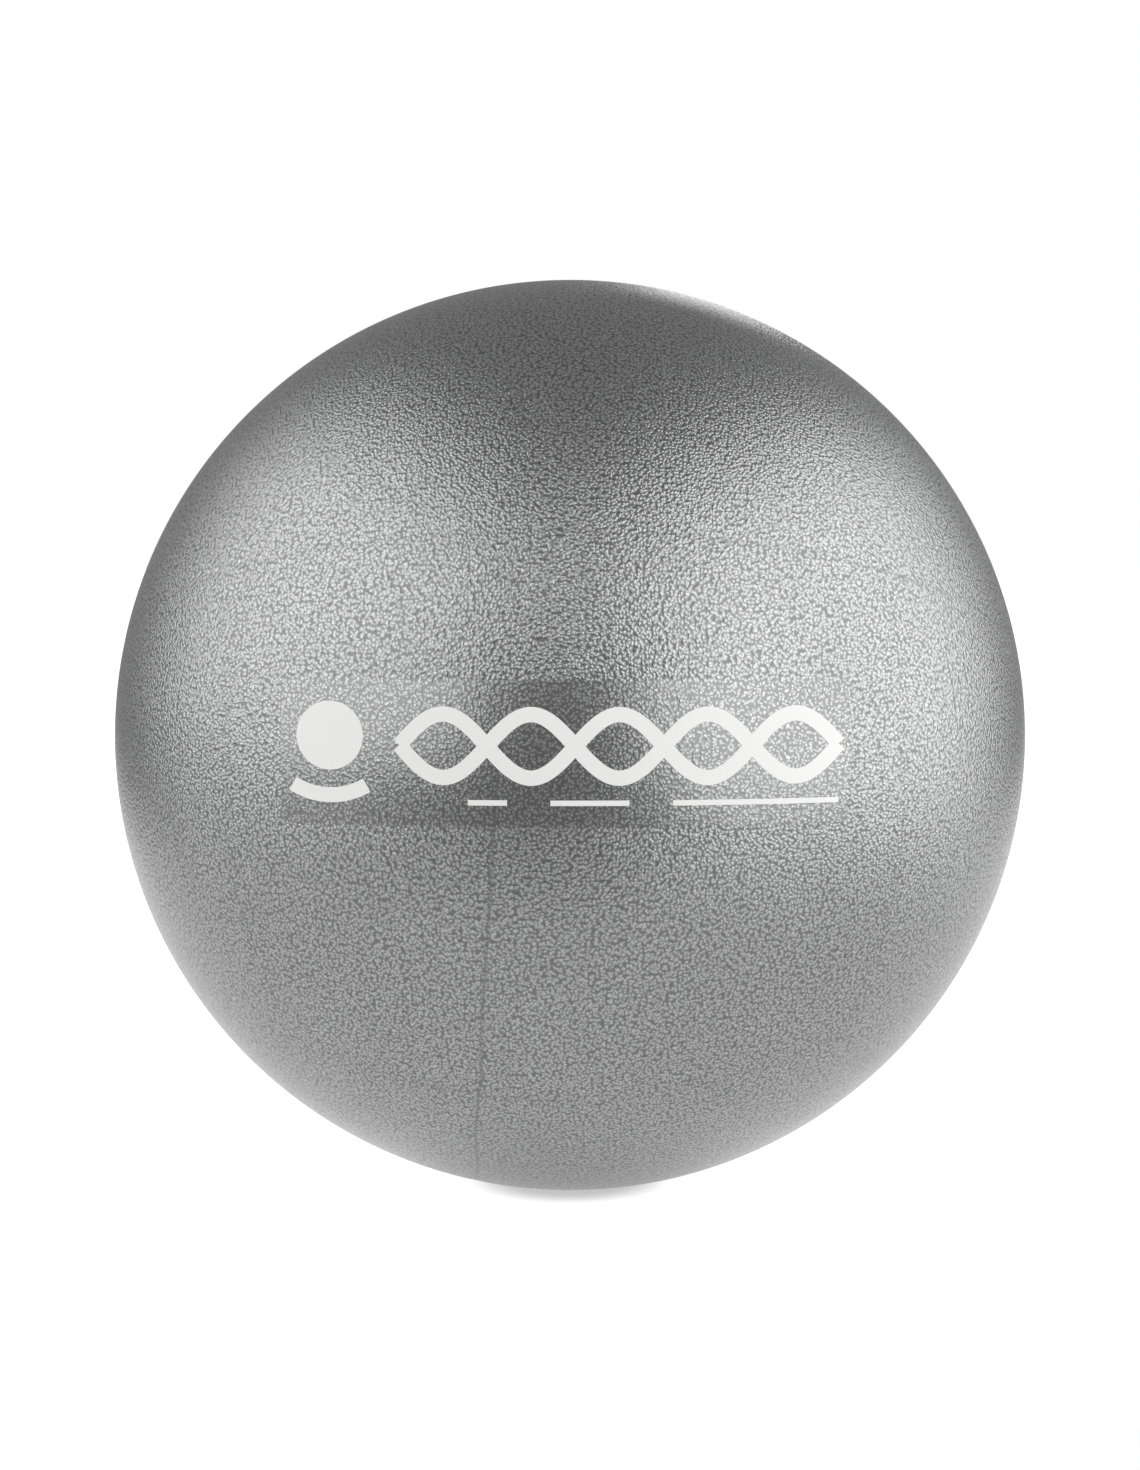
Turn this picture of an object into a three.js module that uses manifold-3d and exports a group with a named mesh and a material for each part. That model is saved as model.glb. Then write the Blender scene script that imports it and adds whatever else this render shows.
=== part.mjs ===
// Soft exercise ball, 250 mm across: a thin hollow PVC sphere with a filling valve.
// Millimetres, +Z up. The origin is the centre of the contact flat that the ball rests on.
// The print faces -Y, and the valve opens towards +Y at the height of the ball's centre.

import * as THREE from 'three';
import { mergeVertices } from 'three/addons/utils/BufferGeometryUtils.js';
import Module from 'manifold-3d';

// Ball
const BALL_RADIUS = 125;
const WALL = 0.7;
const FOOT_RADIUS = 16; // contact flat of the inflated ball under its own weight
const CENTRE_HEIGHT = Math.sqrt(BALL_RADIUS ** 2 - FOOT_RADIUS ** 2);
const TURN_SEGMENTS = 48;
const QUARTER_STEPS = 12; // facets from the foot to the equator, and from there to the top
// How far the middle of a facet lies below the sphere
const FACET_SAG = BALL_RADIUS * (1 - Math.cos(Math.PI / TURN_SEGMENTS) ** 2);

// Valve seat, a flanged soft bush behind the hole in the skin
const HOLE_RADIUS = 7;
const SEAT_CLEARANCE = 0.3;
const FLANGE_RADIUS = 13;
const FLANGE_THICKNESS = 1.6;
const TUBE_RADIUS = 5.6;
const TUBE_LENGTH = 17;
const BORE_RADIUS = 3.3;
const RECESS_RADIUS = 5.7;
const RECESS_DEPTH = 1.1;

// Stopper plug
const HEAD_RADIUS = 5.4;
const HEAD_SEAT_GAP = 0.1;
const HEAD_EDGE = 0.9;
const HEAD_PROUD = 0.3; // how far the crown of the head stands out of the ball
const STEM_LENGTH = 16;
const STEM_RADIUS = 2.85;
const TIP_RADIUS = 2.2;
const RIB_RADIUS = 3.15;
const RIB_LENGTH = 2;
const RIB_COUNT = 3;
const VALVE_SEGMENTS = 32;

// Print, a thin ink film that follows the skin
const PRINT_RISE = THREE.MathUtils.degToRad(2.75); // centre of the print above the equator
const FILM_GAP = 0.15;
const FILM_THICKNESS = 0.15;
const STROKE = 3.9;
const PRINT_HALF_WIDTH = 70.5;
const PRINT_HEIGHT = 26;
const DISC_RADIUS = 8.8;
const CRADLE_WIDTH = 21.5;
const CRADLE_RADIUS = 21;
const BAND_LENGTH = 112;
const BAND_HEIGHT = 20;
const BAND_RISE = 2;
const BAND_LOBES = 5;
const LOBE_STEPS = 12;
const DASH_HEIGHT = 1.4;
const DASH_RISE = -12.4;
const DASHES = { left: [-24, -14], middle: [-3, 17], right: [28, 70.5] };

const SKIN = new THREE.MeshStandardMaterial({ color: 0x9a9b9d, roughness: 0.5, metalness: 0.2 });
const SEAT = new THREE.MeshStandardMaterial({ color: 0x77787a, roughness: 0.6, metalness: 0 });
const PLUG = new THREE.MeshStandardMaterial({ color: 0xdcdcda, roughness: 0.45, metalness: 0 });
const INK = new THREE.MeshStandardMaterial({ color: 0xefefee, roughness: 0.7, metalness: 0 });

const wasm = await Module();
wasm.setup();

// A three.js geometry as a solid that can be cut and joined.
function solid(geometry) {
  const bare = geometry.clone();
  bare.deleteAttribute('normal');
  bare.deleteAttribute('uv');
  const welded = mergeVertices(bare, 1e-4);
  const corners = welded.index.array;
  const triangles = [];
  for (let i = 0; i < corners.length; i += 3) {
    const [a, b, c] = corners.slice(i, i + 3);
    if (a !== b && b !== c && c !== a) triangles.push(a, b, c);
  }
  return new wasm.Manifold(new wasm.Mesh({
    numProp: 3,
    vertProperties: new Float32Array(welded.attributes.position.array),
    triVerts: new Uint32Array(triangles),
  }));
}

// The geometry of a cut or joined solid.
function geometryOf(body) {
  const mesh = body.getMesh();
  const geometry = new THREE.BufferGeometry();
  geometry.setAttribute('position', new THREE.BufferAttribute(mesh.vertProperties, 3));
  geometry.setIndex(new THREE.BufferAttribute(mesh.triVerts, 1));
  geometry.computeVertexNormals();
  return geometry;
}

function part(name, geometry, material) {
  const mesh = new THREE.Mesh(geometry, material);
  mesh.name = name;
  return mesh;
}

// Points on a circle about the origin, from one angle to another, as (radius, height) pairs.
function arc(radius, from, to, steps, centre = new THREE.Vector2()) {
  const points = [];
  for (let i = 0; i <= steps; i++) {
    const angle = from + ((to - from) * i) / steps;
    const spoke = new THREE.Vector2(Math.cos(angle), Math.sin(angle));
    points.push(spoke.multiplyScalar(radius).add(centre));
  }
  return points;
}

// The ball's outer form moved outwards by offset: a sphere about the origin with its foot cut flat.
function ballForm(offset) {
  const radius = BALL_RADIUS + offset;
  const footHeight = -(CENTRE_HEIGHT + offset);
  const footAngle = Math.asin(footHeight / radius);
  const profile = [
    new THREE.Vector2(0, footHeight),
    ...arc(radius, footAngle, 0, QUARTER_STEPS),
    ...arc(radius, 0, Math.PI / 2, QUARTER_STEPS).slice(1),
  ];
  profile.at(-1).setX(0);
  return solid(new THREE.LatheGeometry(profile, TURN_SEGMENTS).rotateX(Math.PI / 2));
}

function ballSkin() {
  const hole = new THREE.CylinderGeometry(HOLE_RADIUS, HOLE_RADIUS, BALL_RADIUS, VALVE_SEGMENTS);
  hole.translate(0, BALL_RADIUS, 0);
  return geometryOf(ballForm(0).subtract(ballForm(-WALL)).subtract(solid(hole)));
}

// Height above the ball's centre of a sphere, at a distance from the valve's axis.
const sphereHeight = (sphereRadius, distance) => Math.sqrt(sphereRadius ** 2 - distance ** 2);
const MOUTH = sphereHeight(BALL_RADIUS, HOLE_RADIUS);
const RECESS_FLOOR = MOUTH - RECESS_DEPTH;

function valveSeat() {
  const inside = BALL_RADIUS - WALL - FACET_SAG - SEAT_CLEARANCE;
  const neckRadius = HOLE_RADIUS - SEAT_CLEARANCE;
  const flangeUnder = sphereHeight(inside, FLANGE_RADIUS) - FLANGE_THICKNESS;
  const profile = [
    [BORE_RADIUS, flangeUnder - TUBE_LENGTH],
    [TUBE_RADIUS, flangeUnder - TUBE_LENGTH],
    [TUBE_RADIUS, flangeUnder],
    [FLANGE_RADIUS, flangeUnder],
    [FLANGE_RADIUS, sphereHeight(inside, FLANGE_RADIUS)],
    [neckRadius, sphereHeight(inside, neckRadius)],
    [neckRadius, MOUTH],
    [RECESS_RADIUS, MOUTH],
    [RECESS_RADIUS, RECESS_FLOOR],
    [BORE_RADIUS, RECESS_FLOOR],
    [BORE_RADIUS, flangeUnder - TUBE_LENGTH],
  ];
  return new THREE.LatheGeometry(profile.map(([r, h]) => new THREE.Vector2(r, h)), VALVE_SEGMENTS);
}

function valvePlug() {
  const headUnder = RECESS_FLOOR + HEAD_SEAT_GAP;
  const tip = headUnder - STEM_LENGTH;
  const ribPitch = STEM_LENGTH / (RIB_COUNT + 1);
  const profile = [[0, tip], [TIP_RADIUS, tip]];
  for (let rib = 0; rib < RIB_COUNT; rib++) {
    const start = tip + ribPitch * (rib + 0.5);
    profile.push([STEM_RADIUS, start], [RIB_RADIUS, start + RIB_LENGTH], [STEM_RADIUS, start + RIB_LENGTH]);
  }
  profile.push([STEM_RADIUS, headUnder], [HEAD_RADIUS, headUnder], [HEAD_RADIUS, headUnder + HEAD_EDGE]);
  profile.push([HEAD_RADIUS / 2, BALL_RADIUS + HEAD_PROUD * 0.75], [0, BALL_RADIUS + HEAD_PROUD]);
  return new THREE.LatheGeometry(profile.map(([r, h]) => new THREE.Vector2(r, h)), VALVE_SEGMENTS);
}

// A flat outline seen from the front, as a prism that runs from the ball's centre out past its face.
function frontPrism(outline) {
  const prism = new THREE.ExtrudeGeometry(outline, { depth: BALL_RADIUS * 1.2, bevelEnabled: false });
  return solid(prism.rotateX(Math.PI / 2).rotateX(-PRINT_RISE));
}

// The part of the ink film that lies inside prisms joined together.
function film(...prisms) {
  const shell = ballForm(FILM_GAP + FILM_THICKNESS).subtract(ballForm(FILM_GAP));
  return geometryOf(shell.intersect(prisms.reduce((all, next) => all.add(next))));
}

const EMBLEM_X = -PRINT_HALF_WIDTH + CRADLE_WIDTH / 2;

function discOutline() {
  const centre = new THREE.Vector2(EMBLEM_X, PRINT_HEIGHT / 2 - DISC_RADIUS);
  return new THREE.Shape(arc(DISC_RADIUS, 0, 2 * Math.PI, 36, centre).slice(0, -1));
}

// A curved dish under the disc.
function cradleOutline() {
  const centre = new THREE.Vector2(EMBLEM_X, CRADLE_RADIUS - PRINT_HEIGHT / 2);
  const half = Math.asin(CRADLE_WIDTH / 2 / CRADLE_RADIUS);
  const [from, to] = [-Math.PI / 2 - half, -Math.PI / 2 + half];
  const outer = arc(CRADLE_RADIUS, from, to, 12, centre);
  const inner = arc(CRADLE_RADIUS - STROKE, to, from, 12, centre);
  return new THREE.Shape([...outer, ...inner]);
}

// One ribbon of constant width along a sine wave; side is 1 or -1 for the two that interlace.
function ribbonOutline(side) {
  const start = PRINT_HALF_WIDTH - BAND_LENGTH;
  const swing = (side * (BAND_HEIGHT - STROKE)) / 2;
  const wave = Math.PI / (BAND_LENGTH / BAND_LOBES);
  const upper = [];
  const lower = [];
  for (let i = 0; i <= BAND_LOBES * LOBE_STEPS; i++) {
    const along = (BAND_LENGTH * i) / (BAND_LOBES * LOBE_STEPS);
    const spine = new THREE.Vector2(start + along, BAND_RISE + swing * Math.sin(wave * along));
    const slope = swing * wave * Math.cos(wave * along);
    const normal = new THREE.Vector2(-slope, 1).setLength(STROKE / 2);
    upper.push(spine.clone().add(normal));
    lower.push(spine.clone().sub(normal));
  }
  return new THREE.Shape([...lower, ...upper.reverse()]);
}

function dashOutline([from, to]) {
  const half = DASH_HEIGHT / 2;
  const [low, high] = [DASH_RISE - half, DASH_RISE + half];
  const corners = [[from, low], [to, low], [to, high], [from, high]];
  return new THREE.Shape(corners.map(([x, y]) => new THREE.Vector2(x, y)));
}

const ball = new THREE.Group();
ball.position.z = CENTRE_HEIGHT;
ball.add(
  part('ball_skin', ballSkin(), SKIN),
  part('valve_seat', valveSeat(), SEAT),
  part('valve_plug', valvePlug(), PLUG),
  part('print_disc', film(frontPrism(discOutline())), INK),
  part('print_cradle', film(frontPrism(cradleOutline())), INK),
  part('print_band', film(frontPrism(ribbonOutline(1)), frontPrism(ribbonOutline(-1))), INK),
);
for (const [name, span] of Object.entries(DASHES)) {
  ball.add(part(`print_dash_${name}`, film(frontPrism(dashOutline(span))), INK));
}

const root = new THREE.Group();
root.add(ball);
export default root;
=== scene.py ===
"""Soft exercise ball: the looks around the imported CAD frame. Metres, +Z up, the print faces -Y."""

import math

import bmesh
import bpy
import numpy as np
from mathutils import Matrix, Vector
from mathutils.geometry import delaunay_2d_cdt


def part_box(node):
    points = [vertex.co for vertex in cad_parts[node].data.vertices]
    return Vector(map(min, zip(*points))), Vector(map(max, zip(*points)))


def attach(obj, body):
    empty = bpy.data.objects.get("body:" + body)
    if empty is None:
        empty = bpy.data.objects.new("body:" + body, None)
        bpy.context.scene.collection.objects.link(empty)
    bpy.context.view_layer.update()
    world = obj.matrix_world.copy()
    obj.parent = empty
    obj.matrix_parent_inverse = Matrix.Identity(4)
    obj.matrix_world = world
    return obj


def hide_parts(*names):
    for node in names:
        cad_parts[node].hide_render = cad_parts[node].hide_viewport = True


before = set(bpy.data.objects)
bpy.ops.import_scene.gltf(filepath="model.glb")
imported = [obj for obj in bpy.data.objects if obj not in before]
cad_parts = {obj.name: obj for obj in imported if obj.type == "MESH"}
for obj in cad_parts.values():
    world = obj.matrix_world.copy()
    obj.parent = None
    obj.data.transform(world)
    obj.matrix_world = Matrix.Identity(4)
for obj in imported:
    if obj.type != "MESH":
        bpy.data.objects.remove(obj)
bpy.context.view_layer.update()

MM = 0.001

# ---------------------------------------------------------------- places and sizes, from the frame

SKIN_LOW, SKIN_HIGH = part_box("ball_skin")
RADIUS = (SKIN_HIGH.x - SKIN_LOW.x) / 2
CENTRE = Vector((0, 0, SKIN_HIGH.z - RADIUS))


def axis_rings(node):
    """Each vertex of a turned CAD node: (distance from the valve's axis, distance from CENTRE along +Y)."""
    points = [v.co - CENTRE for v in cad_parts[node].data.vertices]
    return np.array([(math.hypot(p.x, p.z), p.y) for p in points])


SEAT_RINGS = axis_rings("valve_seat")
PLUG_RINGS = axis_rings("valve_plug")
SEAT_MOUTH = SEAT_RINGS[:, 1].max()
SEAT_END = SEAT_RINGS[:, 1].min()
BORE_RADIUS = SEAT_RINGS[:, 0].min()
FLANGE_RADIUS = SEAT_RINGS[:, 0].max()
PLUG_TIP = PLUG_RINGS[:, 1].min()
PLUG_CROWN = PLUG_RINGS[:, 1].max()
HEAD_RADIUS = PLUG_RINGS[:, 0].max()

# ---------------------------------------------------------------- sizes of fine detail

WALL = 0.7 * MM
HOLE_RADIUS = 7.0 * MM  # the skin's filling hole
HOLE_EDGE = 0.45 * MM  # rounding of the skin's edge round the valve hole
COLLAR_RADIUS = 12.5 * MM  # the smooth, slightly raised ring moulded round the hole
COLLAR_HEIGHT = 0.35 * MM
COLLAR_FADE = 2 * MM
FOOT_BLEND = 0.25 * MM  # rounding of the line where the skin meets the flat that it stands on

GRAIN_PITCH = 0.95 * MM  # width of the pattern's cells; they blend into wider pebbles
GRAIN_HEIGHT = 0.09 * MM

# The smooth panel in the mould, inside which the print lies: half its sides, and how far its edge fades
PANEL_HALF_WIDTH = 73.0 * MM
PANEL_HALF_HEIGHT = 18.7 * MM
PANEL_FADE = 0.5 * MM

# Fold lines left by the packaging. Each is a plane that cuts the skin, by its normal and its distance from
# the ball's centre, and the fold's strength above the print and below it
FOLDS = {
    "upright": (Vector((1.0, 0.014, -0.062)), -18.3 * MM, 0.25, 1.0),
    "level": (Vector((0.007, 0.364, 0.972)), 19.65 * MM, 0.5, 0.5),
}
FOLD_WIDTH = 1.7 * MM
FOLD_DEPTH = 0.07 * MM
FOLD_MIDDLE = 10 * MM  # half the height, round the ball's middle, over which a fold's strength changes

# Small dark scuffs: degrees from -Y towards +X, degrees above the middle, and radius
SCUFFS = ((-40, 31, 2.6 * MM), (-31, 33.5, 2.0 * MM), (24, 31, 1.7 * MM), (22, 28, 1.3 * MM))

# ---------------------------------------------------------------- mesh helpers


def new_object(name, mesh):
    made = bpy.data.objects.new(name, mesh)
    bpy.context.scene.collection.objects.link(made)
    return made


def mesh_from(name, vertices, faces, sharp_degrees=None):
    """A smooth-shaded mesh whose normals point out."""
    mesh = bpy.data.meshes.new(name)
    mesh.from_pydata([tuple(v) for v in vertices], [], [tuple(f) for f in faces])
    work = bmesh.new()
    work.from_mesh(mesh)
    bmesh.ops.recalc_face_normals(work, faces=work.faces)
    work.to_mesh(mesh)
    work.free()
    mesh.shade_smooth()
    if sharp_degrees:
        mesh.set_sharp_from_angle(angle=math.radians(sharp_degrees))
    return mesh


def towards(azimuth, elevation):
    """A direction out of the ball, in degrees from -Y towards +X and degrees above the level."""
    azimuth, elevation = math.radians(azimuth), math.radians(elevation)
    level = math.cos(elevation)
    return Vector((math.sin(azimuth) * level, -math.cos(azimuth) * level, math.sin(elevation)))


def smooth_step(value, low, high):
    t = np.clip((value - low) / (high - low), 0, 1)
    return t * t * (3 - 2 * t)


def rounded(profile, radii, steps=4):
    """A profile with its corners turned into curves; radii gives each point's rounding, 0 for none."""
    points = [Vector(p) for p in profile]
    made = []
    for index, (corner, radius) in enumerate(zip(points, radii)):
        before, after = points[index - 1], points[(index + 1) % len(points)]
        if not radius:
            made.append(corner)
            continue
        start = corner + (before - corner).normalized() * min(radius, (before - corner).length / 2)
        end = corner + (after - corner).normalized() * min(radius, (after - corner).length / 2)
        for step in range(steps + 1):
            t = step / steps
            made.append(start * (1 - t) ** 2 + corner * 2 * t * (1 - t) + end * t**2)
    return made


def turned(name, profile, segments=96, closed=True):
    """Turns a profile about the valve's axis.

    Its points are (distance from that axis, distance from CENTRE along +Y).
    """
    vertices, rings = [], []
    for distance, height in profile:
        if distance < 1e-7:
            rings.append([len(vertices)] * segments)
            vertices.append(CENTRE + Vector((0, height, 0)))
            continue
        rings.append(list(range(len(vertices), len(vertices) + segments)))
        for step in range(segments):
            angle = 2 * math.pi * step / segments
            around = Vector((math.cos(angle), 0, math.sin(angle)))
            vertices.append(CENTRE + around * distance + Vector((0, height, 0)))
    faces = []
    pairs = list(zip(rings, rings[1:])) + ([(rings[-1], rings[0])] if closed else [])
    for lower, upper in pairs:
        for a in range(segments):
            b = (a + 1) % segments
            corners = list(dict.fromkeys((lower[a], lower[b], upper[b], upper[a])))
            if len(corners) > 2:
                faces.append(corners)
    return new_object(name, mesh_from(name, vertices, faces, sharp_degrees=40))


# ---------------------------------------------------------------- the skin


def cube_sides():
    """The six sides of a cube as (outward, first, second) unit vectors; the first one faces the valve."""
    for axis in (1, 0, 2):
        for sign in (1, -1):
            outward = np.zeros(3)
            outward[axis] = sign
            first, second = np.zeros(3), np.zeros(3)
            first[(axis + 1) % 3] = 1
            second[(axis + 2) % 3] = 1
            yield outward, first, second


RING_SPREAD = 1.9  # over 1 puts more of the rings near the hole
OUTER_STEPS, INNER_STEPS, HOLE_STEP = 116, 48, 12  # quads along a cube side, and half the hole's


def ring_angle(i, j):
    """The turn round the valve's axis of a grid point on its square ring, spread evenly."""
    wide = np.abs(i) >= np.abs(j)
    big = np.where(wide, i, j).astype(float)
    big[big == 0] = 1
    small = np.where(wide, j, i)
    turn = np.where(wide, small / big, 2 - small / big)
    return (turn + np.where(big < 0, 4, 0)) * math.pi / 4


def sphere_grid(steps, hole_step, hole_angle):
    """Directions and quads of an even sphere, made of six cube sides of steps x steps quads.

    Round +Y, the valve's axis, its rings turn from squares to circles. The innermost is a hole's edge.
    """
    half = steps // 2
    i, j = np.meshgrid(np.arange(-half, half + 1), np.arange(-half, half + 1), indexing="ij")
    slope_i, slope_j = (np.tan(k / half * math.pi / 4)[..., None] for k in (i, j))
    ring = np.maximum(np.abs(i), np.abs(j))
    corner = np.arange((steps + 1) ** 2).reshape(steps + 1, steps + 1)
    quads = np.stack([corner[:-1, :-1], corner[1:, :-1], corner[1:, 1:], corner[:-1, 1:]], -1)
    quads = quads.reshape(-1, 4)
    directions, faces = [], []
    for number, (outward, first, second) in enumerate(cube_sides()):
        cube = outward + slope_i * first + slope_j * second
        cube /= np.linalg.norm(cube, axis=-1, keepdims=True)
        kept = quads
        if number == 0:
            part = np.clip((ring - hole_step) / (half - hole_step), 0, 1)
            polar = (hole_angle + (math.pi / 4 - hole_angle) * part**RING_SPREAD)[..., None]
            turn = ring_angle(i, j)[..., None]
            around = np.cos(turn) * first + np.sin(turn) * second
            circle = np.cos(polar) * outward + np.sin(polar) * around
            share = smooth_step(part, 0, 1)[..., None]
            cube = circle * (1 - share) + cube * share
            cube /= np.linalg.norm(cube, axis=-1, keepdims=True)
            kept = quads[(ring.reshape(-1)[quads] >= hole_step).all(1)]
        faces.append(kept + len(directions) * (steps + 1) ** 2)
        directions.append(cube.reshape(-1, 3))
    directions, faces = np.concatenate(directions), np.concatenate(faces)
    used, faces = np.unique(faces, return_inverse=True)
    faces = faces.reshape(-1, 4)
    directions = directions[used]
    _, keep, merged = np.unique(np.round(directions, 7), axis=0, return_index=True, return_inverse=True)
    return directions[keep], merged.reshape(-1)[faces]


def fold_groove(directions, fold):
    """How much of FOLD_DEPTH a fold takes off the skin, from 0 to its strength."""
    normal, offset, above, below = fold
    away = directions @ np.array(normal.normalized()) * RADIUS - offset
    strength = below + (above - below) * smooth_step(directions[:, 2] * RADIUS, -FOLD_MIDDLE, FOLD_MIDDLE)
    return strength * np.exp(-((away / FOLD_WIDTH) ** 2))


def skin_surface(directions):
    """The outer surface: the sphere with its moulded collar, soft folds and flat foot."""
    from_axis = RADIUS * np.sin(np.arccos(np.clip(directions[:, 1], -1, 1)))
    from_axis[directions[:, 1] < 0] = RADIUS  # no collar on the print's side
    lift = COLLAR_HEIGHT * (1 - smooth_step(from_axis, COLLAR_RADIUS - COLLAR_FADE, COLLAR_RADIUS))
    for fold in FOLDS.values():
        lift = lift - FOLD_DEPTH * fold_groove(directions, fold)
    points = np.array(CENTRE) + directions * (RADIUS + lift)[:, None]
    height = points[:, 2]
    points[:, 2] = (height + np.sqrt(height**2 + FOOT_BLEND**2)) / 2
    return points


def open_rim(faces):
    """The vertices of the hole's edge, in no order: those of quad edges that only one quad has."""
    edges = np.sort(np.concatenate([faces[:, [a, (a + 1) % 4]] for a in range(4)]), axis=1)
    single, times = np.unique(edges, axis=0, return_counts=True)
    return np.unique(single[times == 1])


def ball_skin():
    """The skin as one closed shell: a detailed outside, a plain inside, and its hole's rounded edge."""
    outer_angle = math.asin((HOLE_RADIUS + HOLE_EDGE) / RADIUS)
    inner_radius = RADIUS - WALL
    inner_angle = math.asin(HOLE_RADIUS / inner_radius)
    outer_way, outer_faces = sphere_grid(OUTER_STEPS, HOLE_STEP, outer_angle)
    inner_way, inner_faces = sphere_grid(INNER_STEPS, HOLE_STEP, inner_angle)
    outer = skin_surface(outer_way)
    inner = np.array(CENTRE) + inner_way * inner_radius
    inner[:, 2] = np.maximum(inner[:, 2], WALL)

    def rim_of(points, faces):
        rim = open_rim(faces)
        turn = np.arctan2(points[rim, 2] - CENTRE.z, points[rim, 0])
        return rim[np.argsort(turn)]

    outer_rim, inner_rim = rim_of(outer, outer_faces), rim_of(inner, inner_faces)
    top = outer[outer_rim][:, 1].mean()
    turn = np.arctan2(outer[outer_rim, 2] - CENTRE.z, outer[outer_rim, 0])
    around = np.stack([np.cos(turn), np.zeros(len(turn)), np.sin(turn)], 1)
    vertices, faces = [outer, inner], [outer_faces, inner_faces[:, ::-1] + len(outer)]
    rings, count = [outer_rim], len(outer) + len(inner)
    edge_steps = 3
    for step in range(1, edge_steps + 1):
        angle = step / edge_steps * math.pi / 2
        distance = HOLE_RADIUS + HOLE_EDGE * (1 - math.sin(angle))
        height = top - HOLE_EDGE * (1 - math.cos(angle))
        rings.append(np.arange(count, count + len(turn)))
        vertices.append(np.array(CENTRE) * (1, 0, 1) + around * distance + (0, height, 0))
        count += len(turn)
    rings.append(inner_rim + len(outer))
    for first, second in zip(rings, rings[1:]):
        ahead = np.roll(first, -1), np.roll(second, -1)
        faces.append(np.stack([first, ahead[0], ahead[1], second], 1))
    mesh = mesh_from("ball_skin_fine", np.concatenate(vertices), np.concatenate(faces), sharp_degrees=60)
    return new_object("ball_skin_fine", mesh)


# ---------------------------------------------------------------- the valve


def valve_seat():
    """The bush: a tube, a flange behind the skin, a neck in its hole and a recess for the plug's head."""
    skin_gap, hole_gap, head_gap = 0.25 * MM, 0.3 * MM, 0.3 * MM
    tube_wall, recess_depth, flange_edge = 2.3 * MM, 1.1 * MM, 1.6 * MM
    inside = RADIUS - WALL - skin_gap
    neck, recess = HOLE_RADIUS - hole_gap, HEAD_RADIUS + head_gap
    tube = BORE_RADIUS + tube_wall
    floor = SEAT_MOUTH - recess_depth

    def below(distance):
        """Where a sphere just inside the skin is, at a distance from the valve's axis."""
        return math.sqrt(inside**2 - distance**2)

    under = below(FLANGE_RADIUS) - flange_edge
    profile = [
        (BORE_RADIUS, SEAT_END),
        (tube, SEAT_END),
        (tube, under),
        (FLANGE_RADIUS, under),
        (FLANGE_RADIUS, below(FLANGE_RADIUS)),
        ((FLANGE_RADIUS + neck) / 2, below((FLANGE_RADIUS + neck) / 2)),
        (neck, below(neck)),
        (neck, SEAT_MOUTH),
        (recess, SEAT_MOUTH),
        (recess, floor),
        (BORE_RADIUS, floor),
    ]
    radii = [r * MM for r in (0.3, 0.5, 1.2, 0.5, 0.4, 0, 0.1, 0.35, 0.25, 0.2, 0.35)]
    return turned("valve_seat_fine", rounded(profile, radii))


def valve_plug():
    """The stopper: a tip, a stem with ribs that are steep on the side away from it, and a domed head."""
    head_under = SEAT_MOUTH - 1.0 * MM
    stem, rib, tip = 2.85 * MM, 3.15 * MM, 2.2 * MM
    rib_count, rib_length = 3, 2 * MM
    pitch = (head_under - PLUG_TIP) / (rib_count + 1)
    profile, radii = [(0, PLUG_TIP), (tip, PLUG_TIP)], [0, 0.5]
    for number in range(rib_count):
        start = PLUG_TIP + pitch * (number + 0.5)
        profile += [(stem, start), (rib, start + rib_length), (stem, start + rib_length)]
        radii += [0.4, 0.15, 0.1]
    edge = PLUG_CROWN - 0.5 * MM
    profile += [(stem, head_under), (HEAD_RADIUS, head_under), (HEAD_RADIUS, edge)]
    radii += [0.3, 0.2, 0.35]
    profile += [(HEAD_RADIUS * 0.62, PLUG_CROWN - 0.06 * MM), (1.3 * MM, PLUG_CROWN)]
    radii += [1.2, 0.2]
    # The dimple left by the moulding gate
    profile += [(1.0 * MM, PLUG_CROWN - 0.25 * MM), (0, PLUG_CROWN - 0.3 * MM)]
    radii += [0.2, 0]
    return turned("valve_plug_fine", rounded(profile, [r * MM for r in radii]), closed=False)


# ---------------------------------------------------------------- the print

PRINT_RISE = math.radians(2.75)  # how far above the level the print's middle faces
PRINT_ACROSS = Vector((1, 0, 0))
PRINT_UP = Vector((0, math.sin(PRINT_RISE), math.cos(PRINT_RISE)))
PRINT_OUT = Vector((0, -math.cos(PRINT_RISE), math.sin(PRINT_RISE)))
INK_UNDER = 0.03 * MM
INK_TOP = 0.09 * MM
INK_MESH = 1.2 * MM  # spacing of the points inside a film
STROKE = 3.9 * MM
CRADLE_RADIUS = 21 * MM
RIBBON_LOBES = 5


def print_extent(node):
    """(left, bottom, right, top) of a CAD print node, seen square on from the front."""
    points = [v.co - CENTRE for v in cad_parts[node].data.vertices]
    across = [p.x for p in points]
    up = [p.dot(PRINT_UP) for p in points]
    return min(across), min(up), max(across), max(up)


def circle_points(centre, radius, start, end, steps):
    angles = [start + (end - start) * step / steps for step in range(steps + 1)]
    return [Vector((centre[0] + radius * math.cos(a), centre[1] + radius * math.sin(a))) for a in angles]


def disc_outline():
    left, bottom, right, top = print_extent("print_disc")
    centre = (left + right) / 2, (bottom + top) / 2
    return circle_points(centre, (right - left) / 2, 0, 2 * math.pi, 96)[:-1]


def cradle_outline():
    left, bottom, right, _ = print_extent("print_cradle")
    centre = (left + right) / 2, bottom + CRADLE_RADIUS
    half = math.asin((right - left) / 2 / CRADLE_RADIUS)
    start, end = -math.pi / 2 - half, -math.pi / 2 + half
    outer = circle_points(centre, CRADLE_RADIUS, start, end, 40)
    return outer + circle_points(centre, CRADLE_RADIUS - STROKE, end, start, 36)


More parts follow.
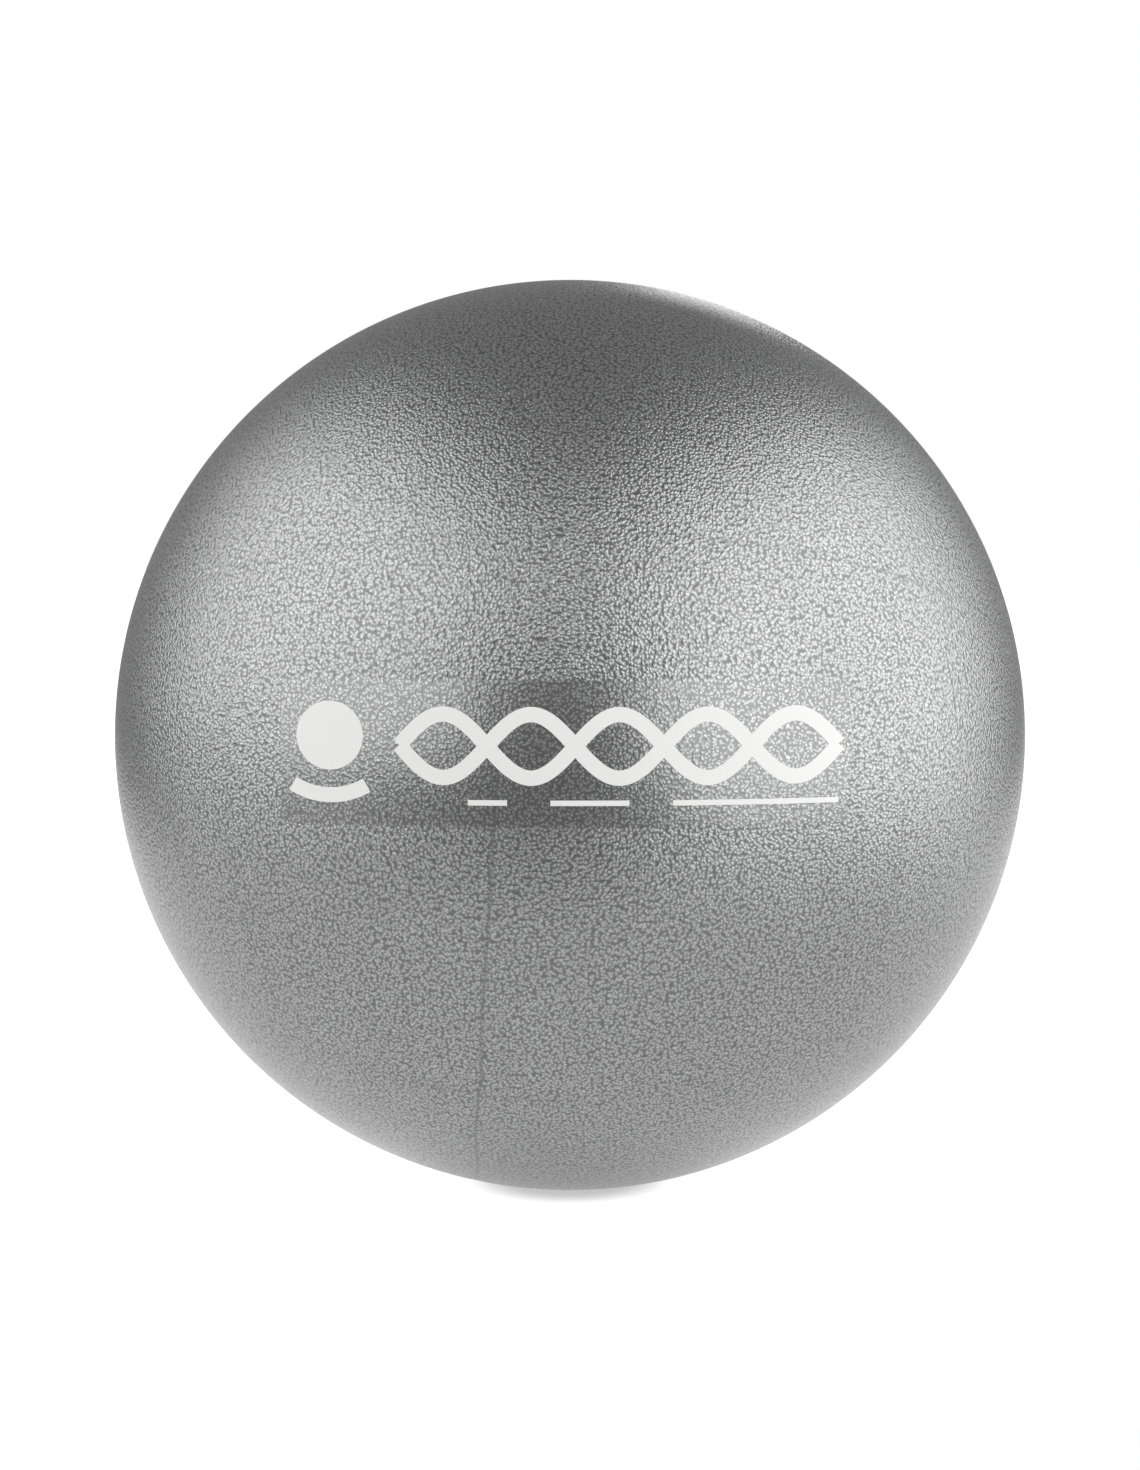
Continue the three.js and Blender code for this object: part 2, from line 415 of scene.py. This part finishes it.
def ribbon_outlines():
    """The two crossing waves, each an outline of one stroke's width."""
    left, bottom, right, top = print_extent("print_band")
    lobes, steps = RIBBON_LOBES, 36
    swing = (top - bottom - STROKE) / 2
    middle, length = (bottom + top) / 2, right - left
    # A stroke's end is cut square to its slope, so its corners reach past its spine's end
    end_slope = swing * math.pi * lobes / length
    start = left + STROKE / 2 * end_slope / math.hypot(1, end_slope)
    length -= 2 * (start - left)
    wave = math.pi * lobes / length
    for side in (1, -1):
        upper, lower = [], []
        for step in range(lobes * steps + 1):
            along = length * step / (lobes * steps)
            spine = Vector((start + along, middle + side * swing * math.sin(wave * along)))
            slope = side * swing * wave * math.cos(wave * along)
            normal = Vector((-slope, 1)).normalized() * STROKE / 2
            upper.append(spine + normal)
            lower.append(spine - normal)
        yield lower + upper[::-1]


def dash_outline(node):
    left, bottom, right, top = print_extent(node)
    steps = 24
    lower = [Vector((left + (right - left) * step / steps, bottom)) for step in range(steps + 1)]
    return lower + [Vector((p.x, top)) for p in reversed(lower)]


def on_skin(flat, lift):
    """A point of the flat print carried straight onto the ball, at a height above the skin."""
    across, up = flat
    radius = RADIUS + lift
    out = math.sqrt(radius**2 - across**2 - up**2)
    return CENTRE + PRINT_ACROSS * across + PRINT_UP * up + PRINT_OUT * out


def ink_film(name, *outlines):
    """A thin sheet of ink over the area inside any of the outlines, bent to the ball."""
    flat, faces = [], []
    for outline in outlines:
        faces.append(list(range(len(flat), len(flat) + len(outline))))
        flat += outline
    low = Vector((min(p.x for p in flat), min(p.y for p in flat)))
    high = Vector((max(p.x for p in flat), max(p.y for p in flat)))
    for column in range(int((high.x - low.x) / INK_MESH)):
        for row in range(int((high.y - low.y) / INK_MESH)):
            shift = 0.5 * (row % 2)
            flat.append(low + Vector((column + 0.5 + shift, row + 0.5)) * INK_MESH)
    flat, _, triangles, _, _, sources = delaunay_2d_cdt(flat, [], faces, 1, 1e-7)
    inside = [triangle for triangle, source in zip(triangles, sources) if source]
    used = sorted({corner for face in inside for corner in face})
    place = {corner: number for number, corner in enumerate(used)}
    tops = [on_skin(flat[corner], INK_TOP) for corner in used]
    unders = [on_skin(flat[corner], INK_UNDER) for corner in used]
    top_faces = [[place[c] for c in face] for face in inside]
    sides = {}
    for face in top_faces:
        for a, b in zip(face, face[1:] + face[:1]):
            if sides.pop((b, a), None) is None:
                sides[a, b] = True
    count = len(used)
    solid = top_faces + [[c + count for c in reversed(face)] for face in top_faces]
    solid += [[b, a, a + count, b + count] for a, b in sides]
    return new_object(name, mesh_from(name, tops + unders, solid, sharp_degrees=50))


# ---------------------------------------------------------------- materials


class Nodes:
    """Builds one material's node tree."""

    def __init__(self, name):
        self.material = bpy.data.materials.new(name)
        self.material.use_nodes = True
        self.tree = self.material.node_tree
        self.shader = self.tree.nodes["Principled BSDF"]
        self.here = self.add("ShaderNodeTexCoord").outputs["Object"]

    def put(self, socket, value):
        if isinstance(value, bpy.types.NodeSocket):
            self.tree.links.new(value, socket)
        else:
            socket.default_value = value

    def add(self, kind, inputs=(), **settings):
        """A node with its settings, and its inputs linked or set."""
        node = self.tree.nodes.new(kind)
        for key, value in settings.items():
            setattr(node, key, value)
        for key, value in dict(inputs).items():
            self.put(node.inputs[key], value)
        return node

    def maths(self, operation, *values):
        node = self.add("ShaderNodeMath", operation=operation)
        for socket, value in zip(node.inputs, values):
            self.put(socket, value)
        return node.outputs[0]

    def vector(self, operation, *values):
        node = self.add("ShaderNodeVectorMath", operation=operation)
        for socket, value in zip(node.inputs, values):
            self.put(socket, value)
        return node.outputs["Value" if operation in ("DOT_PRODUCT", "LENGTH") else "Vector"]

    def ramp(self, value, from_low, from_high, to_low=0.0, to_high=1.0):
        """value carried smoothly from one range to another, and held at its ends."""
        node = self.add("ShaderNodeMapRange", interpolation_type="SMOOTHSTEP")
        for index, number in enumerate((value, from_low, from_high, to_low, to_high)):
            self.put(node.inputs[index], number)
        return node.outputs["Result"]

    def level(self, value, low, high):
        """value's place between low and high, from 0 to 1 and held there."""
        node = self.add("ShaderNodeMapRange")
        for index, number in enumerate((value, low, high, 0.0, 1.0)):
            self.put(node.inputs[index], number)
        return node.outputs["Result"]

    def between(self, factor, first, second):
        node = self.add("ShaderNodeMix", data_type="FLOAT")
        for index, value in ((0, factor), (2, first), (3, second)):
            self.put(node.inputs[index], value)
        return node.outputs[0]

    def noise(self, at, per_metre, detail=2.0, output="Fac"):
        node = self.add("ShaderNodeTexNoise", {"Vector": at, "Scale": per_metre, "Detail": detail})
        return node.outputs[output]

    def mix(self, factor, first, second):
        node = self.add("ShaderNodeMix", data_type="RGBA")
        for index, value in ((0, factor), (6, first), (7, second)):
            self.put(node.inputs[index], value)
        return node.outputs[2]

    def bump(self, height, distance, strength=1.0):
        inputs = {"Height": height, "Distance": distance, "Strength": strength}
        return self.add("ShaderNodeBump", inputs).outputs["Normal"]

    def finish(self, sockets):
        for key, value in sockets.items():
            self.put(self.shader.inputs[key], value)
        return self.material


def grey(level):
    """A very slightly cool grey."""
    return (level, level * 1.003, level * 1.008, 1.0)


def wandering(nodes, per_metre, reach):
    """The place on the piece, pushed about by noise so that cells and lines don't run true."""
    push = nodes.noise(nodes.here, per_metre, output="Color")
    centred = nodes.vector("SUBTRACT", push, (0.5, 0.5, 0.5))
    scaled = nodes.vector("MULTIPLY", centred, (reach, reach, reach))
    return nodes.vector("ADD", nodes.here, scaled)


SEAM_SHARPNESS = 64.0  # how narrow the crossfade is between a pattern's sides


def laid_on_ball(nodes, at, pattern):
    """A flat pattern laid on the ball from its six sides, and crossfaded along the lines where they meet.

    Each side is an equal-area map. The pattern's contrast about 0.5 is the same on the crossfades.
    """
    way = nodes.vector("NORMALIZE", nodes.vector("SUBTRACT", at, tuple(CENTRE)))
    parts = nodes.add("ShaderNodeSeparateXYZ", {"Vector": way}).outputs
    blended, squares = 0.0, 0.0
    for axis, (first, second) in enumerate(((1, 2), (0, 2), (0, 1))):
        facing = nodes.maths("ABSOLUTE", parts[axis])
        spread = nodes.maths("SQRT", nodes.maths("DIVIDE", 2.0, nodes.maths("ADD", facing, 1.0)))
        flat = nodes.add("ShaderNodeCombineXYZ", {"X": parts[first], "Y": parts[second]})
        scale = nodes.maths("MULTIPLY", spread, RADIUS)
        inputs = {"Vector": flat.outputs["Vector"], "Scale": scale}
        flat = nodes.add("ShaderNodeVectorMath", inputs, operation="SCALE").outputs["Vector"]
        elsewhere = (axis * 0.7, axis * 0.4, 0)  # each axis takes another part of the pattern
        value = pattern(nodes.vector("ADD", flat, elsewhere))
        weight = nodes.maths("POWER", facing, SEAM_SHARPNESS)
        blended = nodes.maths("MULTIPLY_ADD", weight, nodes.maths("SUBTRACT", value, 0.5), blended)
        squares = nodes.maths("MULTIPLY_ADD", weight, weight, squares)
    return nodes.maths("ADD", nodes.maths("DIVIDE", blended, nodes.maths("SQRT", squares)), 0.5)


def pebbles(nodes):
    """The moulded pebble grain as a height from about 0, where valleys meet, to about 1 on each pebble."""
    dome_height, dome_slope = 1.15, -1.9  # at a cell's middle, and per cell width away from it
    swell_share = 0.5
    at = wandering(nodes, 0.8 / GRAIN_PITCH, 1.4 * GRAIN_PITCH)

    def domes(flat):
        inputs = {"Vector": flat, "Scale": 1 / GRAIN_PITCH, "Randomness": 0.9, "Smoothness": 0.5}
        cells = nodes.add("ShaderNodeTexVoronoi", inputs, feature="SMOOTH_F1", voronoi_dimensions="2D")
        return nodes.maths("MULTIPLY_ADD", cells.outputs["Distance"], dome_slope, dome_height)

    swell = nodes.noise(nodes.here, 1.4 / GRAIN_PITCH, 0.0)
    cells = nodes.maths("SUBTRACT", laid_on_ball(nodes, at, domes), swell_share / 2)
    return nodes.maths("MULTIPLY_ADD", swell, swell_share, cells)


def panel_mask(nodes):
    """1 on the smooth panel round the print, 0 outside it."""
    at = wandering(nodes, 0.5 / GRAIN_PITCH, GRAIN_PITCH)
    from_centre = nodes.vector("SUBTRACT", at, tuple(CENTRE))
    inside = nodes.ramp(nodes.vector("DOT_PRODUCT", from_centre, tuple(PRINT_OUT)), 0.0, RADIUS / 4)
    for direction, half in ((PRINT_ACROSS, PANEL_HALF_WIDTH), (PRINT_UP, PANEL_HALF_HEIGHT)):
        away = nodes.maths("ABSOLUTE", nodes.vector("DOT_PRODUCT", from_centre, tuple(direction)))
        within = nodes.ramp(away, half - PANEL_FADE, half + PANEL_FADE, 1.0, 0.0)
        inside = nodes.maths("MULTIPLY", inside, within)
    return inside


def fold_mask(nodes, fold, width):
    """The fold's strength along its line, falling to 0 at width on both sides."""
    normal, offset, above, below = fold
    from_centre = nodes.vector("SUBTRACT", wandering(nodes, 60, 2.5 * MM), tuple(CENTRE))
    across = nodes.vector("DOT_PRODUCT", from_centre, tuple(normal.normalized()))
    away = nodes.maths("ABSOLUTE", nodes.maths("SUBTRACT", across, offset))
    height = nodes.vector("DOT_PRODUCT", from_centre, (0, 0, 1))
    strength = nodes.ramp(height, -FOLD_MIDDLE, FOLD_MIDDLE, below, above)
    return nodes.maths("MULTIPLY", strength, nodes.ramp(away, 0.0, width, 1.0, 0.0))


def scuff_mask(nodes):
    """1 in the middle of each scuff, 0 outside its ragged edge."""
    at = wandering(nodes, 420, 4 * MM)
    scuffed = 0.0
    for azimuth, elevation, radius in SCUFFS:
        centre = CENTRE + towards(azimuth, elevation) * RADIUS
        away = nodes.vector("LENGTH", nodes.vector("SUBTRACT", at, tuple(centre)))
        scuffed = nodes.maths("MAXIMUM", scuffed, nodes.ramp(away, 0.2 * radius, radius, 1.0, 0.0))
    return scuffed


def valve_mask(nodes):
    """1 on the smooth collar round the valve, 0 outside it."""
    from_centre = nodes.vector("SUBTRACT", nodes.here, tuple(CENTRE))
    off_axis = nodes.vector("LENGTH", nodes.vector("MULTIPLY", from_centre, (1, 0, 1)))
    behind = nodes.ramp(nodes.vector("DOT_PRODUCT", from_centre, (0, 1, 0)), 0.0, RADIUS / 2)
    within = nodes.ramp(off_axis, COLLAR_RADIUS - COLLAR_FADE, COLLAR_RADIUS, 1.0, 0.0)
    return nodes.maths("MULTIPLY", behind, within)


def skin_material():
    """Silver-grey PVC: pebble grain that is flatter on the panel, with painted shade in its valleys and
    along the folds, painted light on its pebbles, and dark scuffs.
    """
    # valley is painted shade in the grain's valleys; the two cloud greys are the skin's own tone, varied at
    # random
    valley_painted_shade, cloud_low, cloud_high = grey(0.117), grey(0.396), grey(0.422)
    # A dark grey for the scuffs, also used as painted shade along the folds
    wear_and_fold_shade = grey(0.12)
    valley_shade_power = 1.65  # over 1 widens the painted shade in the valleys
    panel_relief = 0.4  # the share of the grain's height that is left on the panel
    panel_rise, fold_fall = 0.5, 0.5  # in GRAIN_HEIGHT
    fold_half_width = 0.9 * MM
    # How strongly the folds get painted shade, and how dark the scuffs are
    fold_painted_shade, scuff_dark = 0.6, 0.5
    valley_rough, pebble_rough, panel_rough = 0.32, 0.28, 0.29
    collar_smooth, collar_height = 0.85, 0.6  # the share of the collar's grain that an even height replaces

    nodes = Nodes("silver_grey_pvc")
    grain = pebbles(nodes)
    panel = panel_mask(nodes)
    grain = nodes.between(nodes.maths("MULTIPLY", valve_mask(nodes), collar_smooth), grain, collar_height)
    folds = nodes.maths("MAXIMUM", *[fold_mask(nodes, fold, fold_half_width) for fold in FOLDS.values()])
    relief = nodes.maths("MULTIPLY", grain, nodes.between(panel, 1.0, panel_relief))
    relief = nodes.maths("SUBTRACT", relief, nodes.maths("MULTIPLY", folds, fold_fall))
    relief = nodes.maths("ADD", relief, nodes.maths("MULTIPLY", panel, panel_rise))

    # Painted shade and light from the grain's height: darker in the valleys, lighter on the pebbles, and on
    # the panel a darker ground with brighter dots
    light = nodes.between(panel, nodes.ramp(grain, -0.6, 1.5), nodes.ramp(grain, 0.1, 1.3, 0.27, 1.0))
    light = nodes.maths("POWER", light, valley_shade_power)
    cloud = nodes.ramp(nodes.noise(nodes.here, 38, 4.0), 0.3, 0.7)
    colour = nodes.mix(light, valley_painted_shade, nodes.mix(cloud, cloud_low, cloud_high))
    # Painted shade along the fold creases
    colour = nodes.mix(nodes.maths("MULTIPLY", folds, fold_painted_shade), colour, wear_and_fold_shade)
    colour = nodes.mix(nodes.maths("MULTIPLY", scuff_mask(nodes), scuff_dark), colour, wear_and_fold_shade)
    rough = nodes.between(nodes.level(grain, 0.0, 1.0), valley_rough, pebble_rough)
    rough = nodes.between(panel, rough, panel_rough)
    return nodes.finish({
        "Base Color": colour,
        "Metallic": 0.88,
        "Roughness": rough,
        "Normal": nodes.bump(relief, GRAIN_HEIGHT),
    })


def seat_material():
    nodes = Nodes("grey_pvc_bush")
    fine = nodes.noise(nodes.here, 2600, 3.0)
    cloud = nodes.noise(nodes.here, 160, 3.0)
    return nodes.finish({
        "Base Color": nodes.mix(cloud, grey(0.17), grey(0.22)),
        "Roughness": nodes.ramp(fine, 0.3, 0.7, 0.42, 0.58),
        "Subsurface Weight": 0.05,
        "Subsurface Radius": (1.0 * MM, 1.0 * MM, 1.0 * MM),
        "Normal": nodes.bump(fine, 0.02 * MM),
    })


def plug_material():
    nodes = Nodes("white_polythene")
    fine = nodes.noise(nodes.here, 1800, 4.0)
    cloud = nodes.noise(nodes.here, 220, 2.0)
    return nodes.finish({
        "Base Color": nodes.mix(cloud, (0.70, 0.70, 0.68, 1), (0.76, 0.76, 0.74, 1)),
        "Roughness": nodes.ramp(fine, 0.3, 0.7, 0.34, 0.5),
        "Subsurface Weight": 0.25,
        "Subsurface Radius": (1.5 * MM, 1.4 * MM, 1.2 * MM),
        "Normal": nodes.bump(fine, 0.015 * MM),
    })


def ink_material():
    nodes = Nodes("off_white_ink")
    grain = pebbles(nodes)
    fine = nodes.noise(nodes.here, 3500, 3.0)
    return nodes.finish({
        "Base Color": nodes.mix(fine, (0.475, 0.475, 0.472, 1), (0.505, 0.505, 0.502, 1)),
        "Roughness": nodes.ramp(fine, 0.3, 0.7, 0.55, 0.7),
        "Normal": nodes.bump(grain, GRAIN_HEIGHT, 0.05),
    })


# ---------------------------------------------------------------- the studio

TABLE_FRONT, TABLE_SIDE, TABLE_BACK = 0.32, 0.457, 3.0  # how far it reaches from the ball
TABLE_GLOW = 1.30
ROOM_GLOW = 0.325

# The ball's contact shadow on the table: its dark middle, its outer edge, and how much narrower it is from
# side to side. Then the share that is left in its middle, of the brightness seen and of the light cast
SHADOW_CORE, SHADOW_EDGE, SHADOW_SQUEEZE = 22 * MM, 44 * MM, 1.4
SHADOW_SEEN, SHADOW_CAST = 0.50, 0.62


def for_camera(tree, output, seen, cast):
    """Feeds output with seen for what the camera sees directly, and with cast for everything else."""
    path, either = tree.nodes.new("ShaderNodeLightPath"), tree.nodes.new("ShaderNodeMixShader")
    tree.links.new(path.outputs["Is Camera Ray"], either.inputs["Fac"])
    tree.links.new(cast, either.inputs[1])
    tree.links.new(seen, either.inputs[2])
    tree.links.new(either.outputs[0], output)


def table():
    """A glowing white table, dimmer in the spot where the ball touches it."""
    front, back = [[(x, y, 0) for x in (-TABLE_SIDE, TABLE_SIDE)] for y in (-TABLE_FRONT, TABLE_BACK)]
    mesh = bpy.data.meshes.new("table")
    mesh.from_pydata(front + back[::-1], [], [(0, 1, 2, 3)])
    nodes = Nodes("white_light_table")
    from_ball = nodes.vector("LENGTH", nodes.vector("MULTIPLY", nodes.here, (SHADOW_SQUEEZE, 1, 1)))
    mesh.materials.append(nodes.finish({
        "Base Color": (0.25, 0.25, 0.25, 1),
        "Roughness": 0.9,
        "Emission Color": (1, 1, 1, 1),
        "Emission Strength": nodes.ramp(from_ball, SHADOW_CORE, SHADOW_EDGE, SHADOW_SEEN, 1.0),
    }))
    dimmed = SHADOW_CAST * TABLE_GLOW
    glow = nodes.ramp(from_ball, SHADOW_CORE, 2 * SHADOW_EDGE, dimmed, TABLE_GLOW)
    glow = nodes.add("ShaderNodeEmission", {"Strength": glow}).outputs[0]
    output = nodes.tree.nodes["Material Output"].inputs["Surface"]
    for_camera(nodes.tree, output, nodes.shader.outputs[0], glow)
    new_object("table", mesh)


def softbox(name, azimuth, elevation, roll, half_width, half_height, radiance):
    """A flat, unseen lamp that faces the ball: angles in degrees, and half sizes per metre of distance."""
    distance = 2.0
    away = towards(azimuth, elevation)
    light = bpy.data.lights.new(name, "AREA")
    light.shape = "RECTANGLE"
    light.size = 2 * half_width * distance
    light.size_y = 2 * half_height * distance
    light.energy = radiance * math.pi * light.size * light.size_y
    lamp = bpy.data.objects.new(name, light)
    facing = away.to_track_quat("Z", "Y").to_matrix().to_4x4()
    turn = facing @ Matrix.Rotation(math.radians(roll), 4, "Z")
    lamp.matrix_world = Matrix.Translation(CENTRE + away * distance) @ turn
    lamp.visible_camera = False
    bpy.context.scene.collection.objects.link(lamp)


def studio():
    """White surroundings that light the ball dimly, softboxes at both sides, a rim light and the table."""
    scene = bpy.context.scene
    scene.view_settings.view_transform = "Standard"
    world = bpy.data.worlds.new("studio")
    world.use_nodes = True
    scene.world = world
    tree = world.node_tree
    seen, lit = tree.nodes["Background"], tree.nodes.new("ShaderNodeBackground")
    seen.inputs["Color"].default_value = (1, 1, 1, 1)
    lit.inputs["Color"].default_value = (ROOM_GLOW, ROOM_GLOW, ROOM_GLOW, 1)
    for_camera(tree, tree.nodes["World Output"].inputs["Surface"], seen.outputs[0], lit.outputs[0])
    softbox("softbox_right", 74.8, 18.3, -9.4, 1.365, 0.905, 2.80)
    softbox("softbox_left", -72.3, 28.4, 4.6, 1.11, 0.715, 2.40)
    softbox("rim_light", 174.7, 14, 0, 0.05, 0.06, 4.5)
    table()


def camera():
    """Level with the ball's top, looking slightly down at its centre through a long lens."""
    away = towards(0.9, 5)
    distance = 1.5
    lens = bpy.data.cameras.new("camera")
    lens.lens = 133.3
    lens.sensor_width = 36
    made = bpy.data.objects.new("camera", lens)
    made.location = CENTRE + away * distance
    made.rotation_mode = "QUATERNION"
    made.rotation_quaternion = away.to_track_quat("Z", "Y")
    bpy.context.scene.collection.objects.link(made)
    bpy.context.scene.camera = made


# ---------------------------------------------------------------- putting it together


def place(piece, body, node, slot, material):
    """Gives a piece its material and body, and lets it stand for its CAD node; the slot is not used."""
    piece.data.materials.append(material)
    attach(piece, body)
    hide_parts(node)


camera()
studio()
place(ball_skin(), "ball", "ball_skin", "skin", skin_material())
place(valve_seat(), "ball", "valve_seat", "seat", seat_material())
place(valve_plug(), "plug", "valve_plug", "plug", plug_material())
ink = ink_material()
place(ink_film("print_disc_ink", disc_outline()), "ball", "print_disc", "ink", ink)
place(ink_film("print_cradle_ink", cradle_outline()), "ball", "print_cradle", "ink", ink)
place(ink_film("print_band_ink", *ribbon_outlines()), "ball", "print_band", "ink", ink)
for side in ("left", "middle", "right"):
    node = f"print_dash_{side}"
    place(ink_film(f"{node}_ink", dash_outline(node)), "ball", node, "ink", ink)
